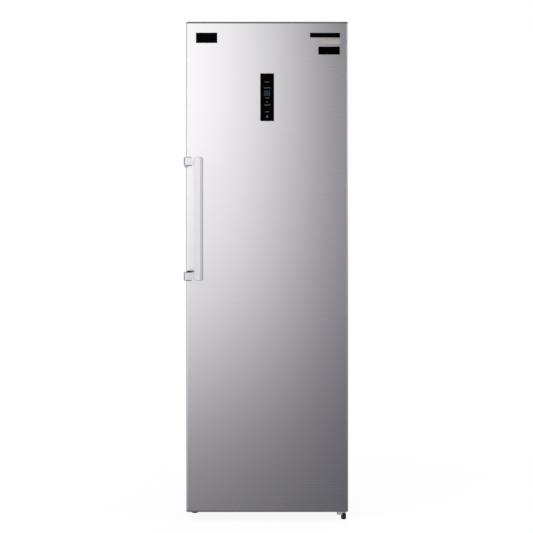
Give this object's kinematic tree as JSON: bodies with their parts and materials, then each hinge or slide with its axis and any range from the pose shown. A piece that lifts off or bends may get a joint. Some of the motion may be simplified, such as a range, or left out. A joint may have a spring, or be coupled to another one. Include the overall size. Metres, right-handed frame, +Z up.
{
  "type": "fridge freezer",
  "caption": "Tall upright refrigerator with one brushed steel door, side bar handle, glass shelves, door bins, freezer drawers and a rear condenser.",
  "frame": {"origin": "centre of the bounding box's bottom face, on the floor", "axes": "+Z up, -Y the front with the door, +X the hinge side"},
  "size_m": [0.5995, 0.6884, 1.847],
  "materials": {
    "side_steel": "smooth light grey paint",
    "zinc_sheet": "plain coated sheet",
    "foam": "rigid foam",
    "white_plastic": "smooth white",
    "plain_steel": "satin",
    "dark_plastic": "fine grain",
    "black_paint": "black paint",
    "rubber": "matt",
    "aluminium": "satin",
    "copper": "dull copper",
    "lamp_lens": "frosted",
    "shelf_glass": "clear",
    "clear_plastic": "clear",
    "brushed_skin": "fine horizontal brushing",
    "gasket_rubber": "soft light grey",
    "satin_metal": "satin",
    "silver_metal": "satin chrome",
    "black_glass": "glossy black"
  },
  "bodies": {
    "cabinet": {"side_panel_left": "side_steel", "side_panel_right": "side_steel", "top_panel": "side_steel", "back_panel": "zinc_sheet", "base_plate": "zinc_sheet", "insulation": "foam", "inner_liner": "white_plastic", "hinge_top": "plain_steel", "hinge_covers": "dark_plastic", "hinge_bottom": "plain_steel", "hinge_screws": "plain_steel", "roller_axles": "plain_steel", "compressor": "black_paint", "compressor_mounts": "rubber", "relay_box": "dark_plastic", "drip_tray": "dark_plastic", "condenser_coil": "black_paint", "condenser_lines": "copper", "condenser_wires": "black_paint", "condenser_clips": "dark_plastic", "evaporator_coil": "aluminium", "evaporator_fins": "aluminium", "fan_motor": "dark_plastic", "duct_cover": "white_plastic", "light_strip": "lamp_lens", "cord_gland": "rubber", "shelf_glass_1": "shelf_glass", "shelf_glass_2": "shelf_glass", "shelf_glass_3": "shelf_glass", "shelf_glass_4": "shelf_glass", "shelf_glass_5": "shelf_glass", "shelf_glass_6": "shelf_glass", "shelf_rims": "white_plastic"},
    "drawer_1": {"drawer_tub_1": "clear_plastic", "drawer_front_1": "clear_plastic"},
    "drawer_2": {"drawer_tub_2": "clear_plastic", "drawer_front_2": "clear_plastic"},
    "drawer_3": {"drawer_tub_3": "clear_plastic", "drawer_front_3": "clear_plastic"},
    "foot_left": {"foot_left": "dark_plastic"},
    "foot_right": {"foot_right": "dark_plastic"},
    "roller_left": {"roller_left": "dark_plastic"},
    "roller_right": {"roller_right": "dark_plastic"},
    "fan": {"fan_blade": "white_plastic"},
    "door": {"door_skin": "brushed_skin", "door_cap_top": "dark_plastic", "door_cap_bottom": "dark_plastic", "door_core": "foam", "door_liner": "white_plastic", "door_ridges": "white_plastic", "door_gasket": "gasket_rubber", "door_bin_1": "clear_plastic", "door_bin_2": "clear_plastic", "door_bin_3": "clear_plastic", "door_bin_4": "clear_plastic", "handle_bar": "satin_metal", "handle_bracket_top": "silver_metal", "handle_bracket_bottom": "silver_metal", "handle_screws": "plain_steel", "display_panel": "black_glass"}
  },
  "joints": [
    {"name": "door_hinge", "type": "hinge", "parent": "cabinet", "child": "door", "pos_m": [0.2815, -0.264, 0.933], "axis": [0, 0, 1], "range_deg": [0, 135]},
    {"name": "drawer_1_slide", "type": "slide", "parent": "cabinet", "child": "drawer_1", "axis": [0, -1, 0], "range_m": [0, 0.19]},
    {"name": "drawer_2_slide", "type": "slide", "parent": "cabinet", "child": "drawer_2", "axis": [0, -1, 0], "range_m": [0, 0.19]},
    {"name": "drawer_3_slide", "type": "slide", "parent": "cabinet", "child": "drawer_3", "axis": [0, -1, 0], "range_m": [0, 0.19]},
    {"name": "roller_left_spin", "type": "hinge", "parent": "cabinet", "child": "roller_left", "pos_m": [-0.2525, 0.28, 0.016], "axis": [1, 0, 0], "continuous": true},
    {"name": "roller_right_spin", "type": "hinge", "parent": "cabinet", "child": "roller_right", "pos_m": [0.2525, 0.28, 0.016], "axis": [1, 0, 0], "continuous": true},
    {"name": "foot_left_turn", "type": "hinge", "parent": "cabinet", "child": "foot_left", "pos_m": [-0.2745, -0.15, 0.01], "axis": [0, 0, 1], "continuous": true},
    {"name": "foot_right_turn", "type": "hinge", "parent": "cabinet", "child": "foot_right", "pos_m": [0.283, -0.247, 0.01], "axis": [0, 0, 1], "continuous": true},
    {"name": "fan_spin", "type": "hinge", "parent": "cabinet", "child": "fan", "pos_m": [0, 0.238, 0.542], "axis": [0, 1, 0], "continuous": true}
  ],
  "couplings": [
    {"joint": "drawer_1_slide", "follows": "door_hinge", "m_per_rad": 0.08},
    {"joint": "drawer_2_slide", "follows": "door_hinge", "m_per_rad": 0.08},
    {"joint": "drawer_3_slide", "follows": "door_hinge", "m_per_rad": 0.08}
  ]
}
